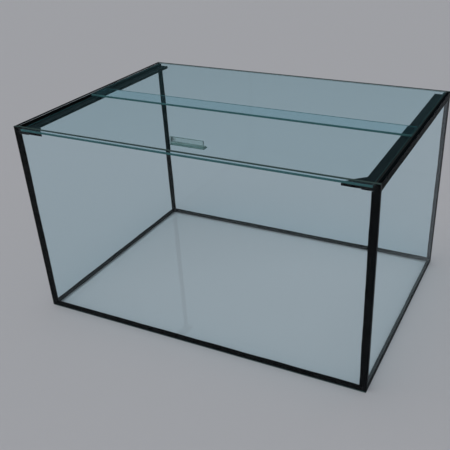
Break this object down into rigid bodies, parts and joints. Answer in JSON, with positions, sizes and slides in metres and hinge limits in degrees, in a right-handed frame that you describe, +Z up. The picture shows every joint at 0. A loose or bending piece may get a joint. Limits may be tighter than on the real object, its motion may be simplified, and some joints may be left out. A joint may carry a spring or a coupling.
{
  "type": "glass hamster cage",
  "caption": "Rectangular all-glass hamster cage with black silicone seams and two overlapping cover glasses that slide on side runners.",
  "frame": {"origin": "under the middle of the base, on the surface the cage stands on", "axes": "+X along the length, to the right seen from the front; +Y from the front to the rear; +Z up"},
  "size_m": [0.7, 0.49, 0.4096],
  "materials": {
    "tank_glass": "clear float glass with a faint green-blue tint and ground edges",
    "cover_glass": "clear float glass with green edges, ground smooth",
    "black_silicone": "cured black silicone, tooled smooth",
    "runner_plastic": "black extruded plastic, satin",
    "grip_plastic": "clear moulded plastic with a faint green tint",
    "clear_silicone": "clear silicone"
  },
  "bodies": {
    "tank": {"base_pane": "tank_glass", "front_pane": "tank_glass", "rear_pane": "tank_glass", "left_pane": "tank_glass", "right_pane": "tank_glass", "front_left_seam": "black_silicone", "front_right_seam": "black_silicone", "rear_left_seam": "black_silicone", "rear_right_seam": "black_silicone", "front_base_seam": "black_silicone", "rear_base_seam": "black_silicone", "left_base_seam": "black_silicone", "right_base_seam": "black_silicone", "left_runner": "runner_plastic", "right_runner": "runner_plastic", "left_runner_bond": "black_silicone", "right_runner_bond": "black_silicone", "front_left_pad": "runner_plastic", "front_right_pad": "runner_plastic", "front_left_pad_bond": "black_silicone", "front_right_pad_bond": "black_silicone"},
    "front_cover": {"front_cover": "cover_glass", "cover_grip": "grip_plastic", "grip_bond": "clear_silicone"},
    "rear_cover": {"rear_cover": "cover_glass"}
  },
  "joints": [
    {"name": "front_cover_slide", "type": "slide", "parent": "tank", "child": "front_cover", "axis": [0, 1, 0], "range_m": [0, 0.127]},
    {"name": "rear_cover_slide", "type": "slide", "parent": "tank", "child": "rear_cover", "axis": [0, 1, 0], "range_m": [-0.04, 0]}
  ]
}
